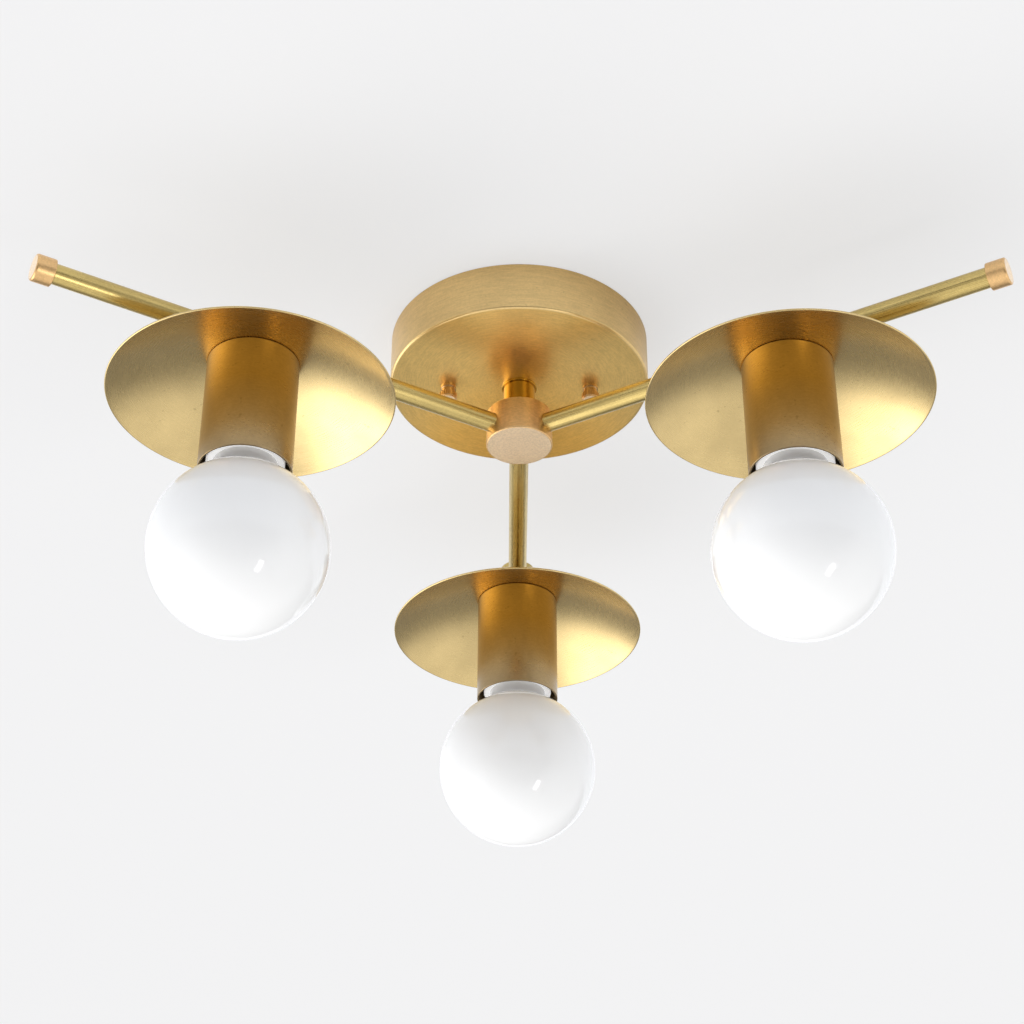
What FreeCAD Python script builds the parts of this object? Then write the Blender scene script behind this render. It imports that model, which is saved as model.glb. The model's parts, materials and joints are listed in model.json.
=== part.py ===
import FreeCAD, Part
import math
import os

# Three-arm semi flush ceiling light, in millimetres.
# Z is up, z = 0 is the ceiling plane and the light hangs down from it.
# X runs along the two cap nuts and Y along the third arm.

# ---- ceiling plate ----
canopy_d = 127.0
canopy_height = 26.0
canopy_wall = 1.2
canopy_edge_radius = 1.2

# ---- crossbar and its fasteners ----
bar_end = 4.55
bar_width = 16.0
bar_thickness = 2.0
bar_centre_hole_d = 10.4
box_screw_spacing = 88.9
box_slot_width = 4.8
box_slot_length = 8.0
stud_spacing = 69.85
stud_d = 4.2
stud_nut_flats = 8.7
stud_nut_height = 3.2
ground_screw_x = 20.0
ground_screw_d = 4.8
ground_head_d = 7.6
ground_head_height = 2.4
screw_slot_width = 1.0
screw_slot_depth = 0.9

# ---- knurled cap nuts ----
nut_collar_d = 7.4
nut_collar_height = 1.2
nut_waist_d = 6.4
nut_waist_height = 2.4
nut_head_d = 8.6
nut_head_height = 3.8
nut_head_bevel = 0.6
nut_thread_depth = 6.0
nut_knurls = 24
nut_knurl_depth = 0.25
stud_end_gap = 0.6

# ---- neck and the threaded nipple through it ----
neck_d = 15.6
neck_length = 17.0
neck_bore = 10.6
neck_ring_d = 17.2
neck_ring_height = 1.0
nipple_d = 10.0
nipple_bore = 7.0
nipple_nut_flats = 14.0
nipple_nut_height = 3.2
nipple_stand_out = 2.0
washer_d = 31.8
washer_thickness = 1.0

# ---- hub ----
hub_d = 32.0
hub_height = 18.0
hub_bore = 22.0
hub_floor = 3.0
hub_chamfer = 0.6
hub_cover_d = 26.0
hub_cover_thickness = 4.0

# ---- arms ----
arm_count = 3
arm_d = 9.5
arm_bore = 7.5
arm_drop = 9.5
arm_inner_radius = 10.0
arm_wire_hole_d = 6.0
lamp_radius = 140.4
tip_radius = 247.0
end_cap_d = 12.7
end_cap_length = 9.0
end_cap_depth = 6.0
end_cap_bevel = 0.9

# ---- coupling that hangs a lamp on its arm ----
coupling_d = 19.0
coupling_above_arm = 9.0
coupling_below_arm = 10.7
coupling_edge_radius = 3.0
set_screw_d = 4.0
set_screw_length = 3.8
set_screw_flats = 2.0
set_screw_socket_depth = 2.0

# ---- shade ----
shade_d = 129.1
shade_curve_radius = 112.0
shade_thickness = 0.9
shade_seat_d = 22.0

# ---- cup over the socket ----
cup_d = 42.0
cup_length = 58.7
cup_wall = 1.0
cup_top_wall = 1.2
cup_edge_radius = 0.6
lamp_nut_flats = 16.0
lamp_nut_height = 3.0

# ---- socket ----
socket_gap = 0.5
socket_d = 36.0
socket_cap_top = 4.0
socket_cap_skirt = 8.7
socket_cap_wall = 2.0
socket_floor = 4.0
socket_spigot = 1.5
socket_body_length = 29.0
socket_cavity_d = 28.3
terminal_offset = 9.0
terminal_screw_d = 3.0
terminal_head_d = 5.6
terminal_head_height = 1.8
contact_rivet_d = 4.4
contact_disc_d = 10.0
contact_disc_thickness = 0.5
contact_button_d = 5.0
contact_drop = 2.6
shell_wall = 0.8
shell_from_floor = 4.0
shell_length = 21.0

# ---- screw thread of bulb and socket: a round bar whose centre winds about the axis ----
thread_pitch = 3.629
thread_offset = 0.5
thread_sections = 8
bulb_thread_d = 25.2
thread_gap = 0.15

# ---- bulb ----
bulb_length = 115.0
globe_d = 79.4
globe_wall = 1.2
globe_neck_d = 28.6
globe_neck_fillet = 3.0
bulb_tip_gap = 0.3
tip_button_d = 9.6
tip_button_height = 1.2
tip_base_d = 22.4
tip_height = 4.9
tip_joint_gap = 0.2
cap_thread_length = 17.7
cap_skirt_d = 26.0
cap_skirt_length = 2.4
cap_bore = 22.4
collar_d = 35.0
collar_top_d = 27.2
collar_flare = 3.4
collar_length = 6.7
collar_lap = 2.0

# ---- wires ----
wire_d = 2.05
wire_ring_radius = 2.2
wire_bend_radius = 4.5
wire_small_bend = 3.0
terminal_block_d = 21.0
terminal_block_height = 9.0
block_ring_radius = 6.5
ground_wire_x = 13.0

# ---- clearances ----
thread_fit = 0.03
slide_fit = 0.1
loose_fit = 0.2

# ---- levels worked out from the sizes above ----
canopy_face = -canopy_height
canopy_inside = canopy_face + canopy_wall
bar_length = box_screw_spacing + box_slot_length + 2 * bar_end
bar_under = -bar_thickness
washer_top = canopy_inside + washer_thickness
nipple_nut_top = washer_top + nipple_nut_height
nipple_top = nipple_nut_top + nipple_stand_out
hub_top = canopy_face - neck_length
hub_bottom = hub_top - hub_height
cover_under = hub_top - hub_cover_thickness
arm_z = hub_top - arm_drop
coupling_top = arm_z + coupling_above_arm
seat_top = arm_z - coupling_below_arm
seat_under = seat_top - shade_thickness
block_under = bar_under - terminal_block_height
seat_rise = math.sqrt(shade_curve_radius ** 2 - (shade_seat_d / 2) ** 2)
shade_centre = seat_under - seat_rise
cup_top = shade_centre + math.sqrt(shade_curve_radius ** 2 - (cup_d / 2) ** 2)
cup_ceiling = cup_top - cup_top_wall
cup_rim = cup_top - cup_length
lamp_nut_under = cup_ceiling - lamp_nut_height
socket_top = lamp_nut_under - socket_gap
chamber_top = socket_top - socket_cap_top
socket_joint = chamber_top - socket_cap_skirt
floor_top = socket_joint + socket_spigot
floor_under = floor_top - socket_floor
socket_mouth = socket_joint - socket_body_length
contact_end = floor_under - contact_disc_thickness - contact_drop
shell_top = floor_under - shell_from_floor
shell_bottom = shell_top - shell_length
bulb_top = contact_end - bulb_tip_gap
tip_under = bulb_top - tip_height
cap_top = tip_under - tip_joint_gap
skirt_top = cap_top - cap_thread_length
collar_top = skirt_top - cap_skirt_length
collar_bottom = collar_top - collar_length
globe_centre = bulb_top - bulb_length + globe_d / 2
lamp_nipple_top = arm_z - arm_d / 2 - 2 * loose_fit
lamp_nipple_end = chamber_top + loose_fit


def vec(x, y, z):
    return FreeCAD.Vector(x, y, z)


def rod(d, z_low, z_high, x=0.0, y=0.0):
    """Upright cylinder between two levels."""
    return Part.makeCylinder(d / 2, z_high - z_low, vec(x, y, z_low))


def tube(d, bore, z_low, z_high):
    """Upright tube between two levels."""
    margin = 1.0
    return rod(d, z_low, z_high).cut(rod(bore, z_low - margin, z_high + margin))


def hexagon(flats, z_low, z_high, x=0.0, y=0.0):
    """Upright hexagonal prism with the given width across its flats."""
    radius = flats / math.sqrt(3)
    corners = []
    for k in range(7):
        angle = math.radians(60 * k)
        corners.append(vec(x + radius * math.cos(angle), y + radius * math.sin(angle), z_low))
    face = Part.Face(Part.makePolygon(corners))
    return face.extrude(vec(0, 0, z_high - z_low))


def turned(edges):
    """Solid turned about Z from a closed outline of edges in the XZ plane."""
    face = Part.Face(Part.Wire(edges))
    solid = face.revolve(vec(0, 0, 0), vec(0, 0, 1), 360)
    if solid.Volume < 0:
        solid.reverse()
    return solid


def line(a, b):
    """Edge between two outline points given as (radius, level)."""
    return Part.LineSegment(vec(a[0], 0, a[1]), vec(b[0], 0, b[1])).toShape()


def arc(a, m, b):
    """Circular edge through three outline points."""
    return Part.Arc(vec(a[0], 0, a[1]), vec(m[0], 0, m[1]), vec(b[0], 0, b[1])).toShape()


def outline(points):
    """Closed outline of straight edges."""
    edges = []
    for k, point in enumerate(points):
        edges.append(line(point, points[(k + 1) % len(points)]))
    return edges


def on_circle(centre_r, centre_z, radius, degrees):
    """Outline point on a circle, with its angle from the horizontal."""
    angle = math.radians(degrees)
    return (centre_r + radius * math.cos(angle), centre_z + radius * math.sin(angle))


def edges_at(shape, level, d):
    """Circular edges of a shape at one level and diameter."""
    found = []
    for edge in shape.Edges:
        curve = edge.Curve
        if not isinstance(curve, Part.Circle):
            continue
        if abs(curve.Center.z - level) < 1e-4 and abs(curve.Radius - d / 2) < 1e-4:
            found.append(edge)
    return found


def at_arm(shape, k):
    """A shape built along +X, turned to arm k. The last arm points along +Y."""
    turned_shape = shape.copy()
    turned_shape.rotate(vec(0, 0, 0), vec(0, 0, 1), 90 + 360 / arm_count * (k + 1))
    return turned_shape


def at_lamp(shape, k):
    """A shape built about Z, moved out to lamp k."""
    moved = shape.copy()
    moved.translate(vec(lamp_radius, 0, 0))
    return at_arm(moved, k)


def mirrored_pair(make, x):
    """The same solid at +x and -x."""
    return Part.makeCompound([make(-x), make(x)])


def save(name, shape):
    shape.exportStep("parts/" + name + ".step")


# ---- ceiling plate and crossbar ----

def crossbar():
    half = bar_length / 2
    plate = Part.makeBox(bar_length, bar_width, bar_thickness, vec(-half, -bar_width / 2, bar_under))
    corners = [edge for edge in plate.Edges if edge.Length < bar_thickness + 1e-6]
    plate = plate.makeFillet(bar_width / 4, corners)
    margin = 1.0
    low = bar_under - margin
    high = margin
    cuts = [rod(bar_centre_hole_d, low, high)]
    cuts.append(rod(ground_screw_d + 2 * thread_fit, low, high, ground_screw_x))
    for side in (-1, 1):
        cuts.append(rod(stud_d + 2 * thread_fit, low, high, side * stud_spacing / 2))
        run = box_slot_length - box_slot_width
        middle = side * box_screw_spacing / 2
        corner = vec(middle - run / 2, -box_slot_width / 2, low)
        slot = Part.makeBox(run, box_slot_width, high - low, corner)
        for end in (-1, 1):
            slot = slot.fuse(rod(box_slot_width, low, high, middle + end * run / 2))
        cuts.append(slot)
    return plate.cut(Part.makeCompound(cuts))


def stud(x):
    return rod(stud_d, canopy_face - nut_thread_depth + stud_end_gap, 0.0, x)


def stud_lock_nut(x):
    low = bar_under - stud_nut_height
    return hexagon(stud_nut_flats, low, bar_under, x).cut(rod(stud_d + 2 * thread_fit, low, bar_under, x))


def ground_screw():
    head_low = bar_under - ground_head_height
    head = rod(ground_head_d, head_low, bar_under, ground_screw_x)
    slot_corner = vec(ground_screw_x - ground_head_d, -screw_slot_width / 2, head_low)
    slot = Part.makeBox(2 * ground_head_d, screw_slot_width, screw_slot_depth, slot_corner)
    shank = rod(ground_screw_d, bar_under, 0.0, ground_screw_x)
    return head.cut(slot).fuse(shank).removeSplitter()


def canopy():
    """Shallow pan, open towards the ceiling."""
    pan = rod(canopy_d, canopy_face, 0.0)
    pan = pan.makeFillet(canopy_edge_radius, edges_at(pan, canopy_face, canopy_d))
    inside = rod(canopy_d - 2 * canopy_wall, canopy_inside, 1.0)
    pan = pan.cut(inside)
    low = canopy_face - 1.0
    high = canopy_inside + 1.0
    holes = [rod(nipple_d + 2 * loose_fit, low, high)]
    for side in (-1, 1):
        holes.append(rod(stud_d + 2 * loose_fit, low, high, side * stud_spacing / 2))
    return pan.cut(Part.makeCompound(holes))


def cap_nut(x):
    """Collar against the ceiling plate, waist and knurled head, with a blind threaded hole from above."""
    waist_top = canopy_face - nut_collar_height
    head_top = waist_top - nut_waist_height
    head_low = head_top - nut_head_height
    head = rod(nut_head_d, head_low, head_top)
    head = head.makeChamfer(nut_head_bevel, edges_at(head, head_low, nut_head_d))
    grooves = []
    for k in range(nut_knurls):
        angle = 2 * math.pi * k / nut_knurls
        reach = nut_head_d / 2
        place = (reach * math.cos(angle), reach * math.sin(angle))
        grooves.append(rod(2 * nut_knurl_depth, head_low - 1, head_top + 1, place[0], place[1]))
    head = head.cut(Part.makeCompound(grooves))
    waist = rod(nut_waist_d, head_top, waist_top)
    collar = rod(nut_collar_d, waist_top, canopy_face)
    hole = rod(stud_d + 2 * slide_fit, canopy_face - nut_thread_depth, canopy_face + 1)
    nut = head.fuse(waist).fuse(collar).cut(hole).removeSplitter()
    nut.translate(vec(x, 0, 0))
    return nut


# ---- neck and hub ----

def centre_nipple():
    return tube(nipple_d, nipple_bore, cover_under + loose_fit, nipple_top)


def nipple_lock_nut():
    nut = hexagon(nipple_nut_flats, washer_top, nipple_nut_top)
    return nut.cut(rod(nipple_d + 2 * thread_fit, washer_top, nipple_nut_top))


def nipple_washer():
    return tube(washer_d, nipple_d + 2 * loose_fit, canopy_inside, washer_top)


def neck():
    """Plain tube with a thin ring at its top, against the ceiling plate."""
    ring = tube(neck_ring_d, neck_bore, canopy_face - neck_ring_height, canopy_face)
    return ring.fuse(tube(neck_d, neck_bore, hub_top, canopy_face)).removeSplitter()


def arm_holes(d):
    """Three horizontal bores on the arm axes, joined at the hub axis."""
    bores = []
    for k in range(arm_count):
        bore = Part.makeCylinder(d / 2, hub_d, vec(0, 0, arm_z), vec(1, 0, 0))
        bores.append(at_arm(bore, k))
    return Part.makeCompound(bores)


def hub_body():
    body = rod(hub_d, hub_bottom, hub_top)
    body = body.makeChamfer(hub_chamfer, edges_at(body, hub_bottom, hub_d))
    body = body.cut(rod(hub_bore, hub_bottom + hub_floor, hub_top + 1))
    body = body.cut(rod(hub_cover_d, cover_under, hub_top + 1))
    for bore in arm_holes(arm_d + 2 * thread_fit).Solids:
        body = body.cut(bore)
    return body


def hub_cover():
    return tube(hub_cover_d - 2 * thread_fit, nipple_d + 2 * thread_fit, cover_under, hub_top)


# ---- arms ----

def arm():
    """Straight tube along +X with a hole under the lamp for its wires."""
    end = tip_radius - end_cap_length + end_cap_depth - loose_fit
    length = end - arm_inner_radius
    start = vec(arm_inner_radius, 0, arm_z)
    outer = Part.makeCylinder(arm_d / 2, length, start, vec(1, 0, 0))
    bore = Part.makeCylinder(arm_bore / 2, length, start, vec(1, 0, 0))
    wire_hole = rod(arm_wire_hole_d, arm_z - arm_d, arm_z, lamp_radius)
    return outer.cut(bore).cut(wire_hole)


def end_cap():
    start = tip_radius - end_cap_length
    cap = Part.makeCylinder(end_cap_d / 2, end_cap_length, vec(start, 0, arm_z), vec(1, 0, 0))
    rim = [edge for edge in cap.Edges if edge.CenterOfMass.x > tip_radius - 1e-4 and edge.Closed]
    cap = cap.makeChamfer(end_cap_bevel, rim)
    hole_r = arm_d / 2 + thread_fit
    hole = Part.makeCylinder(hole_r, end_cap_depth, vec(start, 0, arm_z), vec(1, 0, 0))
    return cap.cut(hole)


def coupling():
    """Upright cylinder, cross-drilled for the arm and tapped from below and above."""
    body = rod(coupling_d, seat_top, coupling_top)
    body = body.makeFillet(coupling_edge_radius, edges_at(body, coupling_top, coupling_d))
    cross = Part.makeCylinder(arm_d / 2 + thread_fit, 2 * coupling_d, vec(-coupling_d, 0, arm_z), vec(1, 0, 0))
    body = body.cut(cross)
    body = body.cut(rod(nipple_d + 2 * thread_fit, seat_top - 1, arm_z))
    return body.cut(rod(set_screw_d + 2 * thread_fit, arm_z, coupling_top + 1))


def set_screw():
    low = arm_z + arm_d / 2
    high = low + set_screw_length
    screw = rod(set_screw_d, low, high)
    return screw.cut(hexagon(set_screw_flats, high - set_screw_socket_depth, high + 1))


# ---- shade and cup ----

def shade():
    """Shallow spun dish with a flat seat round its centre hole."""
    outer_radius = shade_curve_radius + shade_thickness
    hole = nipple_d / 2 + loose_fit
    seat = shade_seat_d / 2
    rim = shade_d / 2
    seat_angle = math.degrees(math.acos(seat / shade_curve_radius))
    rim_angle = math.degrees(math.acos(rim / shade_curve_radius))
    middle_angle = (seat_angle + rim_angle) / 2
    outer_seat = math.sqrt(outer_radius ** 2 - (seat_top - shade_centre) ** 2)
    outer_seat_angle = math.degrees(math.acos(outer_seat / outer_radius))
    outer_middle = (outer_seat_angle + rim_angle) / 2
    inner_rim = on_circle(0, shade_centre, shade_curve_radius, rim_angle)
    outer_rim = on_circle(0, shade_centre, outer_radius, rim_angle)
    edges = [line((hole, seat_under), (seat, seat_under))]
    edges.append(arc((seat, seat_under), on_circle(0, shade_centre, shade_curve_radius, middle_angle), inner_rim))
    edges.append(line(inner_rim, outer_rim))
    edges.append(arc(outer_rim, on_circle(0, shade_centre, outer_radius, outer_middle), (outer_seat, seat_top)))
    edges.append(line((outer_seat, seat_top), (hole, seat_top)))
    edges.append(line((hole, seat_top), (hole, seat_under)))
    return turned(edges)


def cup():
    """Straight cup, closed at the top round the nipple and open below."""
    body = rod(cup_d, cup_rim, cup_top)
    body = body.makeFillet(cup_edge_radius, edges_at(body, cup_top, cup_d))
    body = body.cut(rod(cup_d - 2 * cup_wall, cup_rim - 1, cup_ceiling))
    return body.cut(rod(nipple_d + 2 * loose_fit, cup_ceiling - 1, cup_top + 1))


def lamp_nipple():
    return tube(nipple_d, nipple_bore, lamp_nipple_end, lamp_nipple_top)


def lamp_lock_nut():
    nut = hexagon(lamp_nut_flats, lamp_nut_under, cup_ceiling)
    return nut.cut(rod(nipple_d + 2 * thread_fit, lamp_nut_under, cup_ceiling))


# ---- socket ----

def socket_cap():
    """Upper half of the socket, threaded on the nipple, with the wiring space under it."""
    body = rod(socket_d, socket_joint, socket_top)
    body = body.cut(rod(socket_d - 2 * socket_cap_wall, socket_joint - 1, chamber_top))
    return body.cut(rod(nipple_d + 2 * thread_fit, chamber_top - 1, socket_top + 1))


def socket_body():
    """Lower half of the socket, with the lamp cavity under its floor."""
    body = rod(socket_d, socket_mouth, socket_joint)
    spigot_d = socket_d - 2 * socket_cap_wall - 2 * slide_fit
    body = body.fuse(rod(spigot_d, socket_joint - 1, floor_top)).removeSplitter()
    body = body.cut(rod(socket_cavity_d, socket_mouth - 1, floor_under))
    body = body.cut(rod(contact_rivet_d + 2 * thread_fit, floor_under - 1, floor_top + 1))
    for side in (-1, 1):
        hole_d = terminal_screw_d + 2 * thread_fit
        body = body.cut(rod(hole_d, floor_under - 1, floor_top + 1, 0, side * terminal_offset))
    return body


def terminal_screw(side):
    """Binding screw in the socket floor."""
    y = side * terminal_offset
    head_top = floor_top + terminal_head_height
    head = rod(terminal_head_d, floor_top, head_top, 0, y)
    slot_corner = vec(-terminal_head_d, y - screw_slot_width / 2, head_top - screw_slot_depth)
    slot = Part.makeBox(2 * terminal_head_d, screw_slot_width, screw_slot_depth, slot_corner)
    shank = rod(terminal_screw_d, floor_under, floor_top, 0, y)
    return head.cut(slot).fuse(shank).removeSplitter()


def socket_contact():
    """Rivet through the floor with the sprung centre contact under it."""
    rivet = contact_rivet_d / 2
    disc = contact_disc_d / 2
    disc_under = floor_under - contact_disc_thickness
    points = [(0, floor_top), (rivet, floor_top), (rivet, floor_under), (disc, floor_under)]
    points += [(disc, disc_under), (contact_button_d / 2, contact_end), (0, contact_end)]
    return turned(outline(points))


def thread_bar(d):
    """Round bar over the whole thread, lofted through circles whose centres wind right-handed about the axis."""
    height = shell_top + thread_pitch / 2 - collar_top
    count = math.ceil(height / thread_pitch * thread_sections)
    circles = []
    for k in range(count + 1):
        angle = 2 * math.pi * k / thread_sections
        x = thread_offset * math.cos(angle)
        y = thread_offset * math.sin(angle)
        centre = vec(x, y, collar_top + k * thread_pitch / thread_sections)
        circles.append(Part.Wire([Part.Circle(centre, vec(0, 0, 1), d / 2).toShape()]))
    return Part.makeLoft(circles, True, True)


def socket_shell():
    """Threaded metal shell that takes the bulb."""
    thread_d = bulb_thread_d + 2 * thread_gap
    outer_d = thread_d + 2 * thread_offset + 2 * shell_wall
    return rod(outer_d, shell_bottom, shell_top).cut(thread_bar(thread_d))


# ---- bulb ----

def bulb_tip():
    """Contact button and the cone of insulation under it."""
    button = tip_button_d / 2
    points = [(0, bulb_top), (button, bulb_top), (button, bulb_top - tip_button_height)]
    points += [(tip_base_d / 2, tip_under), (0, tip_under)]
    return turned(outline(points))


def bulb_cap():
    """Threaded cap with a plain skirt."""
    threaded = thread_bar(bulb_thread_d).common(rod(2 * cap_skirt_d, skirt_top, cap_top))
    skirt = rod(cap_skirt_d, collar_top, skirt_top)
    return threaded.fuse(skirt).cut(rod(cap_bore, collar_top - 1, cap_top + 1))


def bulb_collar():
    """Flared collar with a step that holds the neck of the globe."""
    seat_z = collar_bottom + collar_lap
    seat = globe_neck_d / 2 + loose_fit
    bore = cap_bore / 2
    points = [(bore, collar_top), (collar_top_d / 2, collar_top), (collar_d / 2, collar_top - collar_flare)]
    points += [(collar_d / 2, collar_bottom), (seat, collar_bottom), (seat, seat_z), (bore, seat_z)]
    return turned(outline(points))


def globe_side(radius, neck, fillet):
    """Neck level and the two fillet points where a globe meets its neck."""
    fillet_r = neck + fillet
    rise = math.sqrt((radius + fillet) ** 2 - fillet_r ** 2)
    angle = math.degrees(math.atan2(rise, fillet_r))
    return globe_centre + rise, angle


def globe():
    """Hollow ball with an open neck at the top."""
    top = collar_bottom + collar_lap - loose_fit
    outer = globe_d / 2
    inner = outer - globe_wall
    neck = globe_neck_d / 2
    inner_neck = neck - globe_wall
    fillet_z, angle = globe_side(outer, neck, globe_neck_fillet)
    fillet_r = neck + globe_neck_fillet
    inner_fillet = globe_neck_fillet + globe_wall
    join_out = on_circle(0, globe_centre, outer, angle)
    join_in = on_circle(0, globe_centre, inner, angle)
    half = (180 + 180 + angle) / 2
    edges = [line((inner_neck, top), (neck, top)), line((neck, top), (neck, fillet_z))]
    edges.append(arc((neck, fillet_z), on_circle(fillet_r, fillet_z, globe_neck_fillet, half), join_out))
    edges.append(arc(join_out, (outer, globe_centre), (0, globe_centre - outer)))
    edges.append(line((0, globe_centre - outer), (0, globe_centre - inner)))
    edges.append(arc((0, globe_centre - inner), (inner, globe_centre), join_in))
    edges.append(arc(join_in, on_circle(fillet_r, fillet_z, inner_fillet, half), (inner_neck, fillet_z)))
    edges.append(line((inner_neck, fillet_z), (inner_neck, top)))
    return turned(edges)


# ---- wires ----

def rounded_path(points, radii):
    """Straight runs joined by tangent arcs, one radius for each inner point."""
    edges = []
    start = points[0]
    for k, radius in enumerate(radii):
        corner = points[k + 1]
        back = (points[k] - corner).normalize()
        ahead = (points[k + 2] - corner).normalize()
        half = back.getAngle(ahead) / 2
        reach = radius / math.tan(half)
        first = corner + back * reach
        last = corner + ahead * reach
        middle = corner + (back + ahead).normalize() * (radius / math.sin(half) - radius)
        edges.append(Part.LineSegment(start, first).toShape())
        edges.append(Part.Arc(first, middle, last).toShape())
        start = last
    edges.append(Part.LineSegment(start, points[-1]).toShape())
    return Part.Wire(edges)


def wire_along(points, radii):
    """Round wire along a path."""
    path = rounded_path(points, radii)
    heading = points[1] - points[0]
    section = Part.Wire([Part.Circle(points[0], heading, wire_d / 2).toShape()])
    return path.makePipeShell([section], True, False)


def lamp_wire(side):
    """Wire from the terminal block to one socket terminal, built along +X."""
    ring_x = wire_ring_radius * math.cos(math.radians(30))
    ring_y = side * wire_ring_radius * math.sin(math.radians(30))
    block_x = block_ring_radius * math.cos(math.radians(30))
    block_y = side * block_ring_radius * math.sin(math.radians(30))
    end_y = side * (terminal_offset - terminal_head_d / 2 - wire_d / 2 - slide_fit)
    lead = wire_d * 0.8
    spread_low = nipple_top + loose_fit
    points = [vec(block_x, block_y, block_under), vec(block_x, block_y, block_under - lead)]
    points += [vec(ring_x, ring_y, spread_low), vec(ring_x, ring_y, arm_z)]
    points += [vec(lamp_radius, ring_y, arm_z), vec(lamp_radius, ring_y, chamber_top - lead)]
    points += [vec(lamp_radius, end_y, floor_top + lead), vec(lamp_radius, end_y, floor_top)]
    small = wire_small_bend
    big = wire_bend_radius
    return wire_along(points, [small, small, big, big, small, small])


def lamp_wires(side):
    return Part.makeCompound([at_arm(lamp_wire(side), k) for k in range(arm_count)])


def ground_wire():
    """Wire from beside the ground screw down to the washer on the nipple."""
    y = ground_head_d / 2 + wire_d / 2 + loose_fit
    z = bar_under - wire_d / 2 - slide_fit
    points = [vec(ground_screw_x + ground_head_d / 2, y, z), vec(ground_wire_x, y, z)]
    points.append(vec(ground_wire_x, y, washer_top))
    return wire_along(points, [wire_bend_radius])


def terminal_block():
    return rod(terminal_block_d, block_under, bar_under)


def save_ceiling_parts():
    save("crossbar", crossbar())
    save("ground_screw", ground_screw())
    save("canopy_studs", mirrored_pair(stud, stud_spacing / 2))
    save("stud_lock_nuts", mirrored_pair(stud_lock_nut, stud_spacing / 2))
    save("canopy", canopy())
    save("cap_nut_left", cap_nut(-stud_spacing / 2))
    save("cap_nut_right", cap_nut(stud_spacing / 2))
    save("centre_nipple", centre_nipple())
    save("nipple_lock_nut", nipple_lock_nut())
    save("nipple_washer", nipple_washer())
    save("neck", neck())
    save("hub_body", hub_body())
    save("hub_cover", hub_cover())
    save("terminal_block", terminal_block())


def save_lamp_parts():
    single = {"coupling": coupling(), "shade": shade(), "cup": cup()}
    single.update({"socket_cap": socket_cap(), "socket_body": socket_body()})
    single.update({"socket_shell": socket_shell(), "socket_contact": socket_contact()})
    single.update({"globe": globe(), "bulb_collar": bulb_collar()})
    single.update({"bulb_cap": bulb_cap(), "bulb_tip": bulb_tip()})
    for name, shape in single.items():
        for k in range(arm_count):
            save(name + "_" + str(k + 1), at_lamp(shape, k))
    shared = {"coupling_set_screws": [set_screw()], "lamp_nipples": [lamp_nipple()]}
    shared["lamp_lock_nuts"] = [lamp_lock_nut()]
    shared["terminal_screws"] = [terminal_screw(-1), terminal_screw(1)]
    for name, shapes in shared.items():
        copies = [at_lamp(shape, k) for shape in shapes for k in range(arm_count)]
        save(name, Part.makeCompound(copies))


def save_arm_parts():
    for k in range(arm_count):
        save("arm_" + str(k + 1), at_arm(arm(), k))
        save("end_cap_" + str(k + 1), at_arm(end_cap(), k))
    save("live_wires", lamp_wires(1))
    save("neutral_wires", lamp_wires(-1))
    save("ground_wire", ground_wire())


os.makedirs("parts", exist_ok=True)
save_ceiling_parts()
save_arm_parts()
save_lamp_parts()
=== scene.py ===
import json
import math

import bmesh
import bpy
from bpy.props import FloatProperty, FloatVectorProperty, IntProperty, PointerProperty
from mathutils import Matrix, Vector


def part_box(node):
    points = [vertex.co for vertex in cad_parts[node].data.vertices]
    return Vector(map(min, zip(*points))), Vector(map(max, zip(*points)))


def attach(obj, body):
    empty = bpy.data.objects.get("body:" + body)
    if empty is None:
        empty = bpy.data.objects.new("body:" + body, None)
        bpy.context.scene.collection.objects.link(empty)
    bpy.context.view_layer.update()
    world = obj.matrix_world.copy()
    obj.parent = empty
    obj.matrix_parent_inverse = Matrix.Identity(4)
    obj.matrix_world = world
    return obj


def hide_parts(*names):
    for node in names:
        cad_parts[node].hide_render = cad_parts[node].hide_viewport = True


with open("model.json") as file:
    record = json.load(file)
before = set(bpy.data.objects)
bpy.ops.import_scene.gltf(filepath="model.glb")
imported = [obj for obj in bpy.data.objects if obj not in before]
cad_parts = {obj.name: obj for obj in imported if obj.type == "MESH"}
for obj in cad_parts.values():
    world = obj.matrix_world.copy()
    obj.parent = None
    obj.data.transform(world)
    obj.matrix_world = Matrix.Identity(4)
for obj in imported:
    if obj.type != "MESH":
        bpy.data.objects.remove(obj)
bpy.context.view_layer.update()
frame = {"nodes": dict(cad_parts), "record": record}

bl_info = {
    "name": "Three-arm semi flush ceiling light",
    "version": (1, 0, 0),
    "blender": (4, 5, 0),
    "location": "3D View > Sidebar > Ceiling Light",
    "description": "Dresses the brass ceiling light and sets its stage, lamps and camera",
    "category": "Object",
}

MM = 0.001
LAMPS = (1, 2, 3)
ROOT_BODY = "fixture"
SIDES = ("left", "right")
SAME_POINT = 1e-6
FILLET_STEPS = 10
TURNED_CREASE = math.radians(35)
KNURLED_CREASE = math.radians(50)


# ---------------------------------------------------------------- places read from the frame

def middle(node):
    """Centre of a node's box."""
    low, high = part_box(node)
    return (low + high) / 2


def axis_of(node):
    """Point on the upright axis of a node, at the ceiling plane."""
    centre = middle(node)
    return Vector((centre.x, centre.y, 0))


def arm_heading(number):
    """Unit vector along an arm, from the hub outwards."""
    return axis_of("coupling_%d" % number).normalized()


def extent(node):
    """Radius, low level and high level of an upright round node."""
    axis = axis_of(node)
    points = [vertex.co for vertex in frame["nodes"][node].data.vertices]
    radius = max((Vector((point.x, point.y, 0)) - axis).length for point in points)
    return radius, min(point.z for point in points), max(point.z for point in points)


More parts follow.
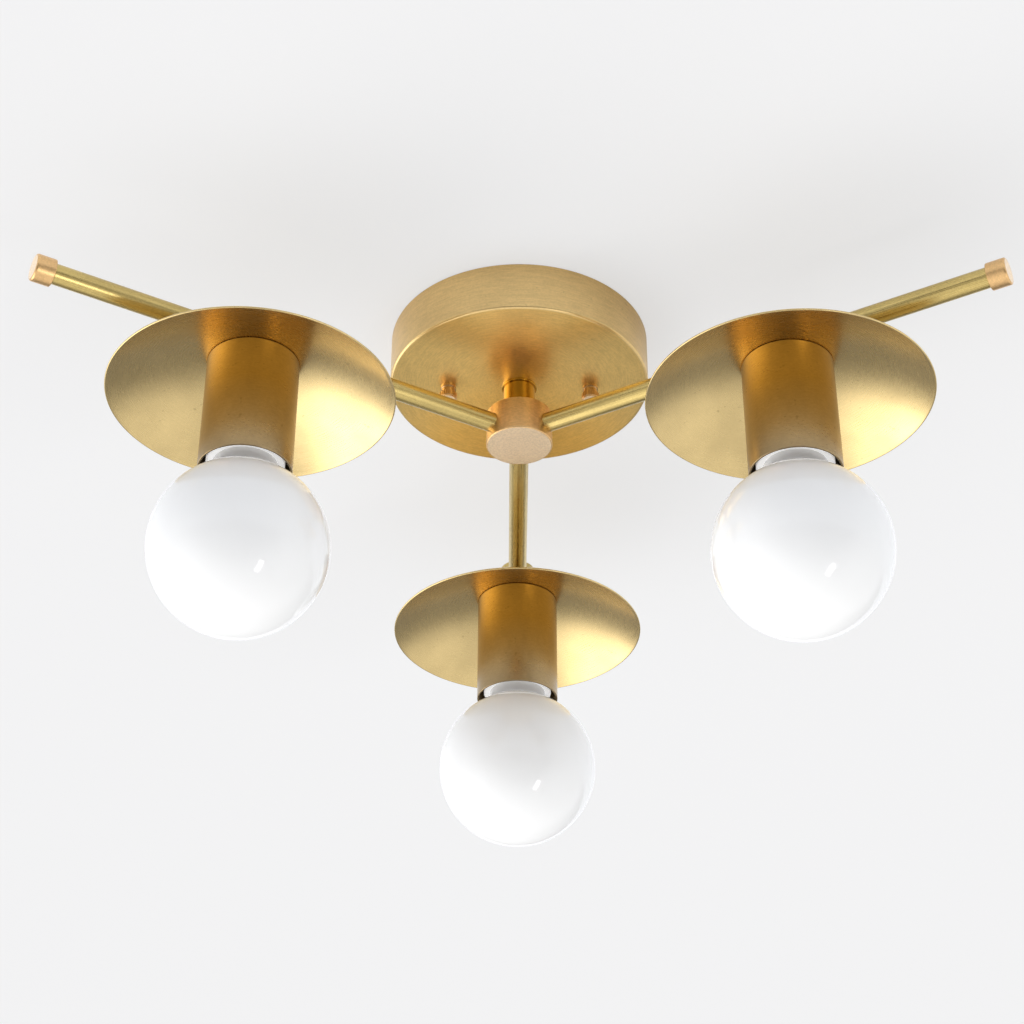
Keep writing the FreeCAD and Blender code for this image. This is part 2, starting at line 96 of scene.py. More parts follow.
def reach_of(node, number):
    """Where a node starts and ends along its arm, measured from the hub axis."""
    heading = arm_heading(number)
    reaches = [vertex.co.dot(heading) for vertex in frame["nodes"][node].data.vertices]
    return min(reaches), max(reaches)


# ---------------------------------------------------------------- settings

def length(name, description, millimetres):
    """Length setting given in millimetres."""
    return FloatProperty(name=name, description=description, default=millimetres * MM, min=0, unit="LENGTH",
                         precision=5)


def colour(name, description, value):
    """Colour setting in linear light."""
    return FloatVectorProperty(name=name, description=description, default=value, subtype="COLOR", size=3,
                               min=0, max=1)


def amount(name, description, value):
    """Plain setting from zero up."""
    return FloatProperty(name=name, description=description, default=value, min=0)


def degrees(name, description, value):
    """Angle setting given in degrees."""
    return FloatProperty(name=name, description=description, default=math.radians(value), subtype="ANGLE")


def whole_number(name, description, value, least):
    return IntProperty(name=name, description=description, default=value, min=least)


def location(name, description, metres):
    """Place setting given in metres."""
    return FloatVectorProperty(name=name, description=description, default=metres, subtype="TRANSLATION",
                               unit="LENGTH", size=3)


class CeilingLightSizes(bpy.types.PropertyGroup):
    """Sizes of the pieces that the frame's boxes don't give"""
    edge_break: length("Edge break", "Radius of the softened edges of turned pieces", 0.35)
    loose_fit: length("Loose fit", "Room on each side of a rod in a clearance hole", 0.2)
    close_fit: length("Close fit", "Room on each side of a rod in a fitting hole", 0.03)
    canopy_wall: length("Canopy wall", "Thickness of the ceiling plate", 1.2)
    canopy_edge: length("Canopy edge", "Radius between the face and the side of the ceiling plate", 1.2)
    stud_width: length("Stud width", "Diameter of the studs that hold the ceiling plate", 4.2)
    nut_collar: length("Nut collar", "Diameter of the end of a cap nut at the ceiling plate", 7.4)
    nut_collar_height: length("Nut collar height", "Height of that end", 1.2)
    nut_waist: length("Nut waist", "Diameter of a cap nut between its collar and its head", 6.4)
    nut_waist_height: length("Nut waist height", "Height of that waist", 2.4)
    nut_bevel: length("Nut bevel", "Bevel round the lower end of a cap nut", 0.6)
    nut_thread: length("Nut thread", "Depth of the hole in a cap nut", 6.0)
    knurl_height: length("Knurl height", "How far a ridge stands out of a cap nut", 0.22)
    neck_width: length("Neck width", "Outside diameter of the neck", 15.6)
    neck_bore: length("Neck bore", "Inside diameter of the neck", 10.6)
    neck_ring: length("Neck ring", "Height of the ring at the top of the neck", 1.0)
    hub_edge: length("Hub edge", "Rounding of the lower edge of the hub", 0.6)
    hub_bore: length("Hub bore", "Diameter of the room inside the hub", 22.0)
    hub_floor: length("Hub floor", "Thickness of the bottom of the hub", 3.0)
    arm_width: length("Arm width", "Outside diameter of the arms", 9.5)
    arm_wall: length("Arm wall", "Wall of the arm tubes", 1.0)
    arm_wire_hole: length("Arm wire hole", "Diameter of the hole under each coupling", 6.0)
    end_cap_depth: length("End cap depth", "How deep an arm sits in its end cap", 6.0)
    end_cap_edge: length("End cap edge", "Rounding of the outer end of each end cap", 0.9)
    coupling_edge: length("Coupling edge", "Rounding of the top of each coupling", 3.0)
    set_screw: length("Set screw", "Diameter of the set screws", 4.0)
    shade_wall: length("Shade wall", "Thickness of the shades", 0.9)
    shade_curve: length("Shade curve", "Radius of the underside of the shades", 112.0)
    shade_seat: length("Shade seat", "Diameter of the flat middle of the shades", 22.0)
    shade_lip: length("Shade lip", "Radius of the rounded rim of each shade", 0.45)
    cup_wall: length("Cup wall", "Wall of the cups", 1.0)
    cup_top_wall: length("Cup top wall", "Thickness of the closed end of the cups", 1.2)
    cup_edge: length("Cup edge", "Rounding of the closed end of the cups", 0.6)
    globe_neck: length("Globe neck", "Diameter of the neck of each globe", 28.6)
    globe_fillet: length("Globe fillet", "Radius between globe and neck", 3.0)
    globe_wall: length("Globe wall", "Thickness of the glass", 1.2)
    collar_top: length("Collar top", "Diameter of the narrow end of each collar", 27.2)
    collar_flare: length("Collar flare", "Height of the sloped part of each collar", 3.4)
    collar_lap: length("Collar lap", "How deep a globe sits in its collar", 2.0)
    cap_bore: length("Cap bore", "Inside diameter of each collar", 22.4)
    knurls: whole_number("Knurls", "Ridges round each cap nut", 24, 8)
    ridge_sides: whole_number("Ridge sides", "Facets round each ridge", 10, 4)
    turning_steps: whole_number("Turning steps", "Facets round a large turned piece", 192, 24)
    collar_steps: whole_number("Collar steps", "Facets round a bulb's collar", 128, 24)
    small_steps: whole_number("Small steps", "Facets round a small turned piece", 96, 24)
    tube_steps: whole_number("Tube steps", "Facets round an arm or a drilled hole", 64, 16)
    wire_hole_steps: whole_number("Wire hole steps", "Facets round the wire hole of an arm", 32, 8)
    shade_steps: whole_number("Shade steps", "Facets from seat to rim of a shade", 40, 8)
    globe_steps: whole_number("Globe steps", "Facets from pole to neck of a globe", 72, 16)


class CeilingLightColours(bpy.types.PropertyGroup):
    """Colours of the pieces that show most"""
    satin_brass: colour("Satin brass", "Side of the ceiling plate", (0.76, 0.54, 0.24))
    # Paler than the side of the same plate: the face colour is a painted highlight.
    satin_face_highlight: colour("Satin face brass", "Face of the ceiling plate", (0.88, 0.61, 0.22))
    spun_brass: colour("Spun brass", "Shades", (0.70, 0.53, 0.25))
    # More amber than the mouth: the top colour carries a painted reflection of the brass shade above.
    cup_brass: colour("Cup brass", "Cups over the sockets, at the top", (0.44, 0.255, 0.055))
    cup_foot_brass: colour("Cup foot brass", "Cups over the sockets, at the mouth", (0.37, 0.27, 0.145))
    arm_brass: colour("Arm brass", "Arm tubes and couplings", (0.57, 0.43, 0.16))
    turned_brass: colour("Turned brass", "Hub, end caps and cap nuts", (0.72, 0.46, 0.21))
    # Paler than the sides of the same pieces: the end colour is a painted highlight.
    faced_end_highlight: colour("Faced brass", "Flat ends of turned pieces", (0.98, 0.77, 0.53))
    polished_brass: colour("Polished brass", "Neck", (0.48, 0.27, 0.04))
    opal: colour("Opal", "Globes", (0.885, 0.885, 0.885))


class CeilingLightStage(bpy.types.PropertyGroup):
    """Ceiling, room, lamps and camera"""
    lens: amount("Lens", "Focal length of the camera in millimetres", 76.29)
    sensor: amount("Sensor", "Width of the camera's picture plane in millimetres", 36)
    camera_place: location("Camera place", "Where the camera stands", (-0.0068, -0.8612, -0.6625))
    camera_pitch: degrees("Camera pitch", "How far the camera looks up", 33.19)
    camera_yaw: degrees("Camera yaw", "Turn of the camera to the right", 0.22)
    camera_roll: degrees("Camera roll", "Tilt of the camera", 0.09)
    ceiling_half: length("Ceiling half width", "Half the width of the ceiling", 4000)
    ceiling_gap: length("Ceiling gap", "Height of the ceiling over the top of the light", 0.5)
    ceiling_colour: colour("Ceiling colour", "Matt white of the ceiling", (0.765, 0.785, 0.82))
    ceiling_lift: amount("Ceiling lift", "Extra white of the ceiling in mirrors", 0.09)
    seen_colour: colour("Seen colour", "Part of it that takes shadows for the camera", (0.25, 0.25, 0.255))
    seen_white: amount("Seen white", "Even part of it for the camera", 0.58)
    backdrop_white: amount("Backdrop white", "White past the end of the ceiling for the camera", 0.892)
    room_colour: colour("Room colour", "Walls and floor as the light sees them", (1.0, 1.0, 1.0))
    wall_power: amount("Wall power", "Brightness of the far wall", 0.33)
    floor_power: amount("Floor power", "Brightness of the floor", 1.1)
    side_gain: amount("Side gain", "How much the room brightens towards its sides", 1.0)
    wall_slope: amount("Wall slope", "Downward slope to which the wall stays dim", 0.58)
    floor_slope: amount("Floor slope", "Downward slope from which the floor is full", 0.97)
    glow_heading: FloatVectorProperty(
        name="Glow heading", description="Direction of the middle of the broad window glow", size=3,
        default=(-0.72, 0.29, -0.63))
    glow_edge: amount("Glow edge", "Cosine of the angle at which the glow ends", 0.76)
    glow_falloff: amount("Glow falloff", "How fast the glow fades from its middle", 1.6)
    glow_power: amount("Glow power", "Brightness of the middle of the glow", 2.7)
    lamp_aim: location("Lamp aim", "Point that the lamps face", (0, 0, -0.1))
    near_place: location("Near place", "Where the small near lamp is", (1.1, -1.15, -1.85))
    near_width: length("Near width", "Width of the small near lamp", 260)
    near_height: length("Near height", "Height of the small near lamp", 600)
    near_power: amount("Near power", "Power of the small near lamp in watts", 4)
    side_place: location("Side place", "Where the right lamp is, with the left one opposite", (2.2, -0.5, -1.2))
    side_width: length("Side width", "Width and height of the left and right lamps", 1400)
    side_power: amount("Side power", "Power of the left and the right lamp in watts", 2)


def settings():
    """Settings of the sizes, the colours and the stage."""
    scene = bpy.context.scene
    return scene.ceiling_light_sizes, scene.ceiling_light_colours, scene.ceiling_light_stage


# ---------------------------------------------------------------- node helpers

class Graph:
    """Short way to write a shader or geometry tree."""

    def __init__(self, tree):
        self.tree = tree

    def add(self, kind, values=None, **settings):
        node = self.tree.nodes.new(kind)
        for key, value in settings.items():
            setattr(node, key, value)
        for key, value in (values or {}).items():
            if isinstance(value, bpy.types.NodeSocket):
                self.tree.links.new(value, node.inputs[key])
            else:
                node.inputs[key].default_value = value
        return node

    def maths(self, operation, *terms):
        return self.add("ShaderNodeMath", dict(enumerate(terms)), operation=operation).outputs[0]

    def parts(self, vector):
        """X, Y and Z of a vector."""
        return self.add("ShaderNodeSeparateXYZ", {0: vector}).outputs

    def scaled(self, vector, factor):
        return self.add("ShaderNodeVectorMath", {0: vector, "Scale": factor}, operation="SCALE").outputs[0]

    def ranged(self, value, source, target, **settings):
        """Value carried from one (low, high) range onto another and kept inside it."""
        node = self.add("ShaderNodeMapRange", {
            "Value": value, "From Min": source[0], "From Max": source[1],
            "To Min": target[0], "To Max": target[1]}, **settings)
        return node.outputs["Result"]

    def blended(self, factor, first, second):
        """Colour from the first to the second."""
        colours = {"Factor": factor, "A": (*first, 1), "B": (*second, 1)}
        return self.add("ShaderNodeMix", colours, data_type="RGBA").outputs["Result"]

    def either(self, factor, first, second):
        """Shader from the first to the second."""
        return self.add("ShaderNodeMixShader", {"Fac": factor, 1: first, 2: second}).outputs[0]

    def surface(self, values):
        """Last nodes of a piece's material."""
        shader = self.add("ShaderNodeBsdfPrincipled", values)
        self.add("ShaderNodeOutputMaterial", {"Surface": shader.outputs[0]})


def shaded(kind, name):
    """New material or world without nodes, and its graph."""
    block = kind.new(name)
    block.use_nodes = True
    block.node_tree.nodes.clear()
    return block, Graph(block.node_tree)


# ---------------------------------------------------------------- profiles of turned pieces

def softened(corners, closed, steps=5, hold=1.6):
    """Profile points from corners given as (radius, level, rounding).

    Two more points beside each rounding, at hold times its reach from the corner, keep the flats flat.
    """
    points = []
    last = len(corners) - 1
    for k, (radius, level, rounding) in enumerate(corners):
        corner = Vector((radius, level))
        if not rounding or (not closed and k in (0, last)):
            points.append(corner)
            continue
        back = (Vector(corners[k - 1][:2]) - corner).normalized()
        ahead = (Vector(corners[(k + 1) % len(corners)][:2]) - corner).normalized()
        half = back.angle(ahead) / 2
        reach = rounding / math.tan(half)
        centre = corner + (back + ahead).normalized() * (rounding / math.sin(half))
        first = corner + back * reach - centre
        final = corner + ahead * reach - centre
        points.append(corner + back * reach * hold)
        for step in range(steps + 1):
            points.append(centre + first.slerp(final, step / steps).normalized() * rounding)
        points.append(corner + ahead * reach * hold)
    if closed:
        points.append(points[0])
    return points


def sphere_points(centre, radius, start, end, steps):
    """Points (radius, level) on a sphere's outline between two angles from the horizontal."""
    points = []
    for step in range(steps + 1):
        angle = start + (end - start) * step / steps
        points.append(Vector((radius * math.cos(angle), centre + radius * math.sin(angle))))
    return points


# ---------------------------------------------------------------- geometry trees

def new_tree(name, inputs, output):
    """Empty tree with its inputs, given as {name: kind}, and one output."""
    tree = bpy.data.node_groups.new(name, "GeometryNodeTree")
    for label, kind in inputs.items():
        tree.interface.new_socket(label, in_out="INPUT", socket_type="NodeSocket" + kind)
    tree.interface.new_socket(output, in_out="OUTPUT", socket_type="NodeSocketGeometry")
    return tree


def turning_tree():
    """Tree that sweeps a profile in the XZ plane about Z."""
    if "Turning" in bpy.data.node_groups:
        return bpy.data.node_groups["Turning"]
    tree = new_tree("Turning", {"Profile": "Geometry", "Steps": "Int", "Finish": "Material"}, "Turned")
    graph = Graph(tree)
    given = graph.add("NodeGroupInput").outputs
    rows = graph.add("GeometryNodeAttributeDomainSize", {"Geometry": given["Profile"]}).outputs["Point Count"]
    columns = graph.maths("ADD", given["Steps"], 1)
    grid = graph.add("GeometryNodeMeshGrid", {"Vertices X": columns, "Vertices Y": rows})
    index = graph.add("GeometryNodeInputIndex").outputs[0]
    row = graph.maths("MODULO", index, rows)
    column = graph.maths("FLOOR", graph.maths("DIVIDE", graph.maths("ADD", index, 0.5), rows))
    angle = graph.maths("MULTIPLY", graph.maths("DIVIDE", column, given["Steps"]), 2 * math.pi)
    position = graph.add("GeometryNodeInputPosition").outputs[0]
    sample = graph.add(
        "GeometryNodeSampleIndex", {"Geometry": given["Profile"], "Value": position, "Index": row},
        data_type="FLOAT_VECTOR", domain="POINT")
    swung = graph.add("ShaderNodeVectorRotate", {"Vector": sample.outputs[0], "Angle": angle},
                      rotation_type="Z_AXIS")
    moved = graph.add("GeometryNodeSetPosition", {
        "Geometry": grid.outputs["Mesh"], "Position": swung.outputs[0]})
    merged = graph.add("GeometryNodeMergeByDistance", {"Geometry": moved.outputs[0], "Distance": SAME_POINT})
    finish_tree(graph, merged.outputs[0], given["Finish"])
    return tree


def finish_tree(graph, geometry, finish):
    """Last nodes of a tree: places of points, marks of end faces, shading, real geometry and material."""
    position = graph.add("GeometryNodeInputPosition").outputs[0]
    placed = graph.add("GeometryNodeStoreNamedAttribute", {
        "Geometry": geometry, "Name": "place", "Value": position}, data_type="FLOAT_VECTOR", domain="POINT")
    normal = graph.parts(graph.add("GeometryNodeInputNormal").outputs[0])
    upright = graph.maths("ABSOLUTE", normal["Z"])
    marked = graph.add("GeometryNodeStoreNamedAttribute", {
        "Geometry": placed.outputs[0], "Name": "end_face", "Value": upright}, data_type="FLOAT", domain="FACE")
    smooth = graph.add("GeometryNodeSetShadeSmooth", {"Geometry": marked.outputs[0]})
    real = graph.add("GeometryNodeRealizeInstances", {"Geometry": smooth.outputs[0]})
    dressed = graph.add("GeometryNodeSetMaterial", {"Geometry": real.outputs[0], "Material": finish})
    graph.add("NodeGroupOutput", {0: dressed.outputs[0]})


def knurl_tree():
    """Tree that stands upright ridges on a circle."""
    if "Knurl" in bpy.data.node_groups:
        return bpy.data.node_groups["Knurl"]
    inputs = {"Mesh": "Geometry", "Count": "Int", "Sides": "Int", "Ring Radius": "Float",
              "Ridge Radius": "Float", "Low": "Float", "High": "Float", "Finish": "Material"}
    tree = new_tree("Knurl", inputs, "Knurled")
    graph = Graph(tree)
    given = graph.add("NodeGroupInput").outputs
    circle = graph.add("GeometryNodeMeshCircle", {"Vertices": given["Count"], "Radius": given["Ring Radius"]})
    height = graph.maths("SUBTRACT", given["High"], given["Low"])
    ridge = graph.add("GeometryNodeMeshCylinder", {
        "Vertices": given["Sides"], "Radius": given["Ridge Radius"], "Depth": height})
    level = graph.maths("MULTIPLY", graph.maths("ADD", given["High"], given["Low"]), 0.5)
    lift = graph.add("ShaderNodeCombineXYZ", {"Z": level}).outputs[0]
    lifted = graph.add("GeometryNodeTransform", {"Geometry": ridge.outputs["Mesh"], "Translation": lift})
    ring = graph.add("GeometryNodeInstanceOnPoints", {
        "Points": circle.outputs["Mesh"], "Instance": lifted.outputs[0]})
    real = graph.add("GeometryNodeRealizeInstances", {"Geometry": ring.outputs[0]})
    finish_tree(graph, real.outputs[0], given["Finish"])
    return tree


def made_mesh(piece, material):
    """Mesh of a piece as its modifiers leave it, in one material."""
    bpy.context.view_layer.update()
    graph = bpy.context.evaluated_depsgraph_get()
    mesh = bpy.data.meshes.new_from_object(piece.evaluated_get(graph))
    mesh.materials.clear()
    mesh.materials.append(material)
    mesh.polygons.foreach_set("material_index", [0] * len(mesh.polygons))
    return mesh


def tree_mesh(points, tree, values, crease):
    """Mesh that a tree makes from profile points, free of the tree."""
    seed = seed_piece(points)
    modifier = seed.modifiers.new(tree.name, "NODES")
    modifier.node_group = tree
    for item in tree.interface.items_tree:
        if item.in_out == "INPUT" and item.name in values:
            modifier[item.identifier] = values[item.name]
    mesh = made_mesh(seed, values["Finish"])
    seed.modifiers.remove(modifier)
    drop(seed)
    mesh.set_sharp_from_angle(angle=crease)
    return mesh


def new_piece(name, data):
    """Object in the scene with a mesh, light or camera."""
    piece = bpy.data.objects.new(name, data)
    bpy.context.scene.collection.objects.link(piece)
    return piece


def seed_piece(points):
    """Object holding a profile as a chain of edges, or nothing for an empty profile."""
    mesh = bpy.data.meshes.new("seed")
    places = [(point[0], 0, point[1]) for point in points]
    mesh.from_pydata(places, [(k, k + 1) for k in range(len(places) - 1)], [])
    return new_piece("seed", mesh)


def drop(piece):
    mesh = piece.data
    bpy.data.objects.remove(piece)
    bpy.data.meshes.remove(mesh)


def turned_mesh(points, finish, steps, matrix=Matrix()):
    """Mesh turned about Z from profile points, then moved by a matrix."""
    mesh = tree_mesh(points, turning_tree(), {"Steps": steps, "Finish": finish}, TURNED_CREASE)
    mesh.transform(matrix)
    return mesh


def knurl_mesh(count, sides, ring_radius, ridge_radius, low, high, finish):
    """Ring of upright ridges."""
    values = {"Count": count, "Sides": sides, "Ring Radius": ring_radius, "Ridge Radius": ridge_radius,
              "Low": low, "High": high, "Finish": finish}
    return tree_mesh([], knurl_tree(), values, KNURLED_CREASE)


def joined(meshes):
    """One mesh from several that share their material."""
    form = bmesh.new()
    for mesh in meshes:
        form.from_mesh(mesh)
    whole = bpy.data.meshes.new("joined")
    form.to_mesh(whole)
    form.free()
    whole.materials.append(meshes[0].materials[0])
    return whole


def mark_places(mesh, matrix):
    """Keep the place of each point on its own piece, as it was before the matrix moved it."""
    back = matrix.inverted()
    places = [value for vertex in mesh.vertices for value in back @ vertex.co]
    mesh.attributes["place"].data.foreach_set("vector", places)


def cutter_between(start, end, radius, steps):
    """Round bar to cut a hole with."""
    form = bmesh.new()
    bmesh.ops.create_cone(form, cap_ends=True, segments=steps, radius1=radius, radius2=radius,
                          depth=(end - start).length)
    mesh = bpy.data.meshes.new("cutter")
    form.to_mesh(mesh)
    form.free()
    turn = (end - start).to_track_quat("Z", "Y").to_matrix().to_4x4()
    mesh.transform(Matrix.Translation((start + end) / 2) @ turn)
    return new_piece("cutter", mesh)


def drilled(mesh, holes, steps, matrix=Matrix()):
    """The mesh, moved by a matrix before, with round holes cut out, each hole as (start, end, radius)."""
    piece = new_piece("drilled", mesh)
    cutters = [cutter_between(start, end, radius, steps) for start, end, radius in holes]
    for cutter in cutters:
        modifier = piece.modifiers.new("hole", "BOOLEAN")
        modifier.operation = "DIFFERENCE"
        modifier.solver = "EXACT"
        modifier.object = cutter
    made = made_mesh(piece, mesh.materials[0])
    for leftover in [*cutters, piece]:
        drop(leftover)
    made.polygons.foreach_set("use_smooth", [True] * len(made.polygons))
    made.set_sharp_from_angle(angle=TURNED_CREASE)
    mark_places(made, matrix)
    return made


def show(name, mesh, body, node):
    """Piece that rides on a body and stands for a CAD node."""
    mesh.name = name
    piece = new_piece(name, mesh)
    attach(piece, body)
    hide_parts(node)


def along_arm(number, distance, level):
    """Matrix that lays a piece turned about Z along an arm, its foot at a distance from the hub axis."""
    heading = arm_heading(number)
    turn = heading.to_track_quat("Z", "Y").to_matrix().to_4x4()
    return Matrix.Translation(heading * distance + Vector((0, 0, level))) @ turn


def show_turned(name, points, steps, body, slot, node):
    """Piece turned on the upright axis of its node."""
    show(name, turned_mesh(points, finish(slot), steps, at_axis(node)), body, node)


def at_axis(node):
    """Matrix that puts a piece turned about Z on the upright axis of a node."""
    return Matrix.Translation(axis_of(node))


# ---------------------------------------------------------------- materials

# Scales of the noise in the brass, in other finishes and in the glass, to the metre.
PATCH_SCALE = 38
SPECKLE_SCALE = 900
SPOT_SCALE = 420
MOTTLE_SCALE = 160
DULL_SCALE = 300
GLASS_SCALE = 12
# How far the noise has to be from one half for its full effect, and between which values spots appear.
STREAK_REACH = 0.1
SPECKLE_REACH = 0.12
SPOT_RANGE = (0.73, 0.78)
# Strength of speckle and bump as shares of the marks, and of spots as a share of the tarnish.
SPECKLE_SHARE = 0.6
BUMP_SHARE = 3
SPOT_SHARE = 1.3
ROUGHNESS_SWAY = 0.03
MOTTLING = 0.06
DULLER = 0.05
GLASS_MOTTLING = 0.015
BUMP_DEPTH = 0.05 * MM
# Upright part of the normal from which a face is a flat end.
END_FACE = 0.99
# Fineness of long grain along the piece, as a share of that across it, and of round grain to the radian.
DRAWN_OUT = 0.015
ARCS = 8
GRAIN = {"Scale": 1, "Detail": 4, "Roughness": 0.6}


def place_vector(graph, turned):
    """Where a point lies on its own piece."""
    if turned:
        return graph.add("ShaderNodeAttribute", attribute_name="place").outputs["Vector"]
    return graph.add("ShaderNodeTexCoord").outputs["Object"]


def round_grain(graph, place, fineness):
    """Noise drawn out round the Z axis of the piece."""
    parts = graph.parts(place)
    flat = graph.add("ShaderNodeCombineXYZ", {"X": parts["X"], "Y": parts["Y"]}).outputs[0]
    radius = graph.add("ShaderNodeVectorMath", {0: flat}, operation="LENGTH").outputs["Value"]
    unit = graph.add("ShaderNodeVectorMath", {0: flat}, operation="NORMALIZE").outputs[0]
    swirl = graph.parts(graph.scaled(unit, ARCS))
    level = graph.maths("MULTIPLY", parts["Z"], fineness)
    spot = graph.add("ShaderNodeCombineXYZ", {"X": swirl["X"], "Y": swirl["Y"], "Z": level}).outputs[0]
    depth = graph.maths("MULTIPLY", radius, fineness)
    noise = graph.add("ShaderNodeTexNoise", {"Vector": spot, "W": depth, **GRAIN}, noise_dimensions="4D")
    return noise.outputs["Fac"]


def long_grain(graph, place, fineness):
    """Noise drawn out along the Z axis of the piece."""
    drawn = graph.add("ShaderNodeMapping", {
        "Vector": place, "Scale": (fineness, fineness, fineness * DRAWN_OUT)}).outputs[0]
    return graph.add("ShaderNodeTexNoise", {"Vector": drawn, **GRAIN}).outputs["Fac"]


def cloud(graph, place, scale, detail=2):
    return graph.add("ShaderNodeTexNoise", {"Vector": place, "Scale": scale, "Detail": detail}).outputs["Fac"]


def spread(graph, value, low, high, reach=0.2):
    """Noise value within a reach of one half, stretched onto a range."""
    return graph.ranged(value, (0.5 - reach, 0.5 + reach), (low, high))


def brass(name, colour, roughness, grain, fineness, marks, tarnish, lit_end_colour=None, foot=None):
    """Brass with brushing, slow changes of tone and a few darker spots.

    Marks says how deep the brushing is, and tarnish how dark the patches are. The flat ends of a piece may have
    their own paler tone, a painted highlight. A foot gives the tone at a low level, that level and the level
    at which it has faded out. On the cups that change of tone with height is a painted reflection of the
    brass shade above them.
    """
    material, graph = shaded(bpy.data.materials, name)
    place = place_vector(graph, True)
    lines = grain(graph, place, fineness)
    patches = cloud(graph, place, PATCH_SCALE)
    tone = spread(graph, patches, 1 - tarnish, 1)
    streak = spread(graph, lines, 1 - marks, 1 + marks, STREAK_REACH)
    fleck = marks * SPECKLE_SHARE
    speckle = spread(graph, cloud(graph, place, SPECKLE_SCALE, 3), 1 - fleck, 1 + fleck, SPECKLE_REACH)
    freckle = graph.ranged(cloud(graph, place, SPOT_SCALE, 1), SPOT_RANGE, (1.0, 1 - SPOT_SHARE * tarnish))
    slow = graph.maths("MULTIPLY", tone, streak)
    shade = graph.maths("MULTIPLY", slow, graph.maths("MULTIPLY", speckle, freckle))
    base = colour
    # Flat ends take a paler colour: a painted highlight.
    if lit_end_colour:
        end = graph.add("ShaderNodeAttribute", attribute_name="end_face").outputs["Fac"]
        base = graph.blended(graph.maths("GREATER_THAN", end, END_FACE), colour, lit_end_colour)
    # Tone changing with height: on the cups a painted reflection of the brass shade above.
    if foot:
        foot_colour, low, high = foot
        fade = graph.ranged(graph.parts(place)["Z"], (low, high), (1.0, 0.0))
        base = graph.blended(fade, colour, foot_colour)
    fine = spread(graph, lines, roughness - ROUGHNESS_SWAY, roughness + ROUGHNESS_SWAY)
    rough = graph.maths("ADD", fine, spread(graph, patches, ROUGHNESS_SWAY, -ROUGHNESS_SWAY))
    bump = graph.add("ShaderNodeBump", {
        "Strength": marks * BUMP_SHARE, "Distance": BUMP_DEPTH, "Height": lines}).outputs[0]
    graph.surface({
        "Base Color": graph.scaled(base, shade), "Metallic": 1.0, "Roughness": rough, "Normal": bump})
    return material


def plain(name, colour, roughness, metallic=0.0, turned=False, painted_glow=0.0):
    """Even finish with a little mottling. A piece may be given an even glow, painted light that lifts it out of
    shade.
    """
    material, graph = shaded(bpy.data.materials, name)
    place = place_vector(graph, turned)
    tinted = graph.scaled(colour, spread(graph, cloud(graph, place, MOTTLE_SCALE), 1 - MOTTLING, 1))
    rough = spread(graph, cloud(graph, place, DULL_SCALE), roughness, roughness + DULLER)
    # The glow is painted light, not a lamp.
    graph.surface({"Base Color": tinted, "Metallic": metallic, "Roughness": rough,
                   "Emission Color": (1, 1, 1, 1), "Emission Strength": painted_glow})
    return material


def opal_glass(name, colour):
    """White glass with a smooth face and hardly any change of tone."""
    material, graph = shaded(bpy.data.materials, name)
    mottled = cloud(graph, place_vector(graph, True), GLASS_SCALE)
    tinted = graph.scaled(colour, spread(graph, mottled, 1 - GLASS_MOTTLING, 1))
    graph.surface({"Base Color": tinted, "Roughness": 0.08, "IOR": 1.5})
    return material


def finish(slot):
    """Material of one slot, made at its first use."""
    name = "lamp_" + slot
    if name in bpy.data.materials:
        return bpy.data.materials[name]
    colours = settings()[1]
    cup_low, cup_high = extent("cup_1")[1:]
    # The cups go from the foot colour at the mouth to the top colour: a painted reflection at the top.
    foot = (colours.cup_foot_brass, cup_low, (cup_low + 2 * cup_high) / 3)
    brasses = {
        # Face colour of the ceiling plate: a painted highlight.
        "satin_brass": (colours.satin_brass, 0.34, round_grain, 1500, 0.06, 0.10, colours.satin_face_highlight),
        "spun_brass": (colours.spun_brass, 0.27, round_grain, 1600, 0.025, 0.18),
        "cup_brass": (colours.cup_brass, 0.30, round_grain, 2000, 0.05, 0.14, None, foot),
        "brushed_brass": (colours.arm_brass, 0.28, long_grain, 1800, 0.09, 0.12),
        # End colour of machined pieces: a painted highlight.
        "machined_brass": (colours.turned_brass, 0.34, round_grain, 1600, 0.07, 0.06, colours.faced_end_highlight),
        "polished_brass": (colours.polished_brass, 0.16, round_grain, 3000, 0.03, 0.08),
    }
    plains = {
        "plain_brass": (colours.spun_brass, 0.3, 1.0),
        "zinc_steel": ((0.55, 0.56, 0.56), 0.35, 1.0),
        "green_screw": ((0.05, 0.25, 0.08), 0.35, 0.6),
        "black_plastic": ((0.012, 0.012, 0.013), 0.4),
        "block_plastic": ((0.75, 0.74, 0.70), 0.5),
        "nickel_cap": ((0.62, 0.60, 0.57), 0.25, 1.0),
        "insulator": ((0.03, 0.03, 0.035), 0.3),
        "live_insulation": ((0.015, 0.015, 0.016), 0.45),
        "neutral_insulation": ((0.78, 0.78, 0.76), 0.45),
        "ground_insulation": ((0.04, 0.30, 0.07), 0.45),
    }
    if slot in brasses:
        return brass(name, *brasses[slot])
    if slot == "opal_globe":
        return opal_glass(name, colours.opal)
    if slot == "white_collar":
        # The collar glows a little though it is no lamp: painted light against the shade inside the cup.
        return plain(name, (0.95, 0.95, 0.95), 0.5, turned=True, painted_glow=0.3)
    return plain(name, *plains[slot])


# ---------------------------------------------------------------- the pieces

def upright_hole(node, low, high, radius):
    """Hole on the upright axis of a node."""
    spot = axis_of(node)
    return spot + Vector((0, 0, low)), spot + Vector((0, 0, high)), radius


